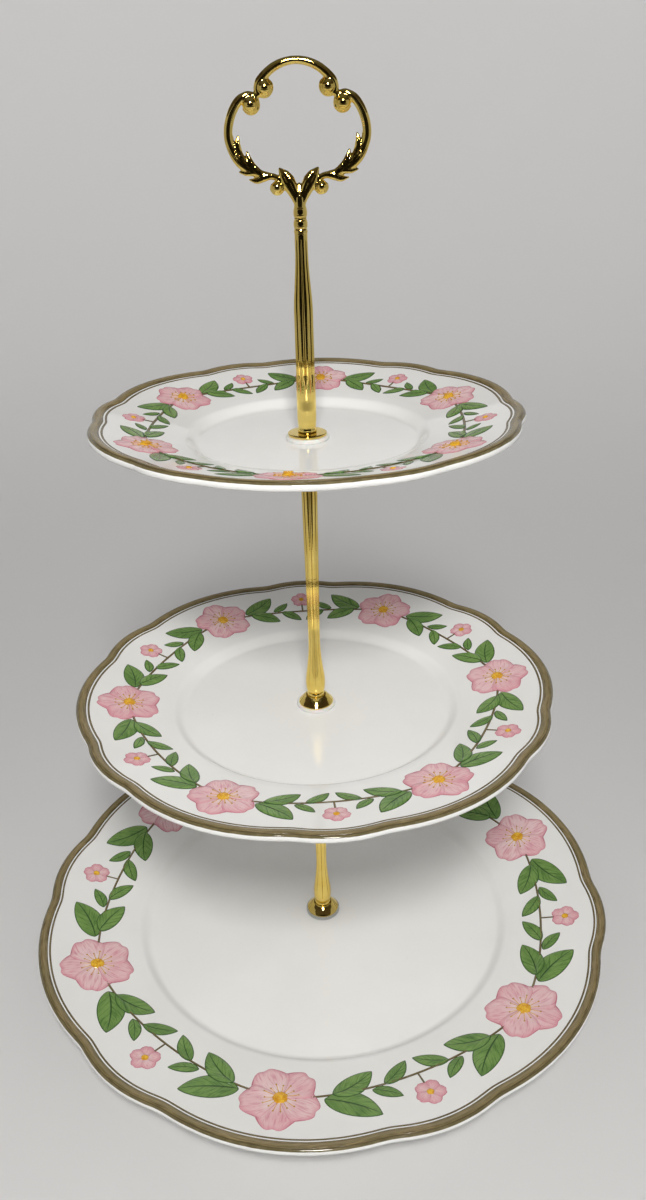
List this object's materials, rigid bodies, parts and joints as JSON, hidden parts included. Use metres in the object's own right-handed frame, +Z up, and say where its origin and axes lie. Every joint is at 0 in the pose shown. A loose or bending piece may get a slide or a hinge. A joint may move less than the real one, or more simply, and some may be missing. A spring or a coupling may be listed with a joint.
{
  "type": "tiered cake stand",
  "caption": "Tiered cake stand: scalloped floral porcelain plates of falling size, clamped on a slim gilt column of screw-together rods and topped by a pierced ring handle.",
  "frame": {"origin": "centre of the bottom plate's foot ring, on the table, on the column's axis", "axes": "+Z up along the column towards the handle, X along the width of the handle's ring, -Y towards the front"},
  "size_m": [0.2652, 0.2678, 0.3742],
  "materials": {
    "porcelain": "glossy white glaze, painted blossoms and leaves",
    "gold_plate": "polished gold plate",
    "screw_steel": "zinc plated",
    "white_plastic": "satin",
    "clear_plastic": "translucent, glossy"
  },
  "bodies": {
    "bottom_dish": {"bottom_plate": "porcelain", "bottom_pad_washer": "clear_plastic", "base_screw": "screw_steel", "bottom_under_washer": "clear_plastic"},
    "bottom_cup": {"bottom_cup_washer": "gold_plate"},
    "lower_column": {"lower_rod": "gold_plate", "lower_stud": "screw_steel", "middle_support_washer": "gold_plate", "middle_under_washer": "white_plastic", "middle_plate": "porcelain", "middle_pad_washer": "white_plastic"},
    "middle_cup": {"middle_cup_washer": "gold_plate"},
    "middle_column": {"middle_rod": "gold_plate", "upper_stud": "screw_steel", "top_support_washer": "gold_plate", "top_under_washer": "white_plastic", "top_plate": "porcelain", "top_pad_washer": "white_plastic"},
    "top_flange": {"top_flange_washer": "gold_plate"},
    "handle": {"handle_stem": "gold_plate", "handle_ring": "gold_plate"}
  },
  "joints": [
    {"name": "lower_rod_turn", "type": "hinge", "parent": "bottom_dish", "child": "bottom_cup", "pos_m": [0, 0, 0.0129], "axis": [0, 0, 1], "range_deg": [0, 3330]},
    {"name": "lower_rod_rise", "type": "slide", "parent": "bottom_cup", "child": "lower_column", "axis": [0, 0, 1], "range_m": [0, 0.0065]},
    {"name": "middle_rod_turn", "type": "hinge", "parent": "lower_column", "child": "middle_cup", "pos_m": [0, 0, 0.1326], "axis": [0, 0, 1], "range_deg": [0, 3330]},
    {"name": "middle_rod_rise", "type": "slide", "parent": "middle_cup", "child": "middle_column", "axis": [0, 0, 1], "range_m": [0, 0.0065]},
    {"name": "handle_turn", "type": "hinge", "parent": "middle_column", "child": "top_flange", "pos_m": [0, 0, 0.2494], "axis": [0, 0, 1], "range_deg": [0, 3330]},
    {"name": "handle_rise", "type": "slide", "parent": "top_flange", "child": "handle", "axis": [0, 0, 1], "range_m": [0, 0.0065]}
  ],
  "couplings": [
    {"joint": "lower_rod_rise", "follows": "lower_rod_turn", "m_per_rad": 0.00011141},
    {"joint": "middle_rod_rise", "follows": "middle_rod_turn", "m_per_rad": 0.00011141},
    {"joint": "handle_rise", "follows": "handle_turn", "m_per_rad": 0.00011141}
  ]
}
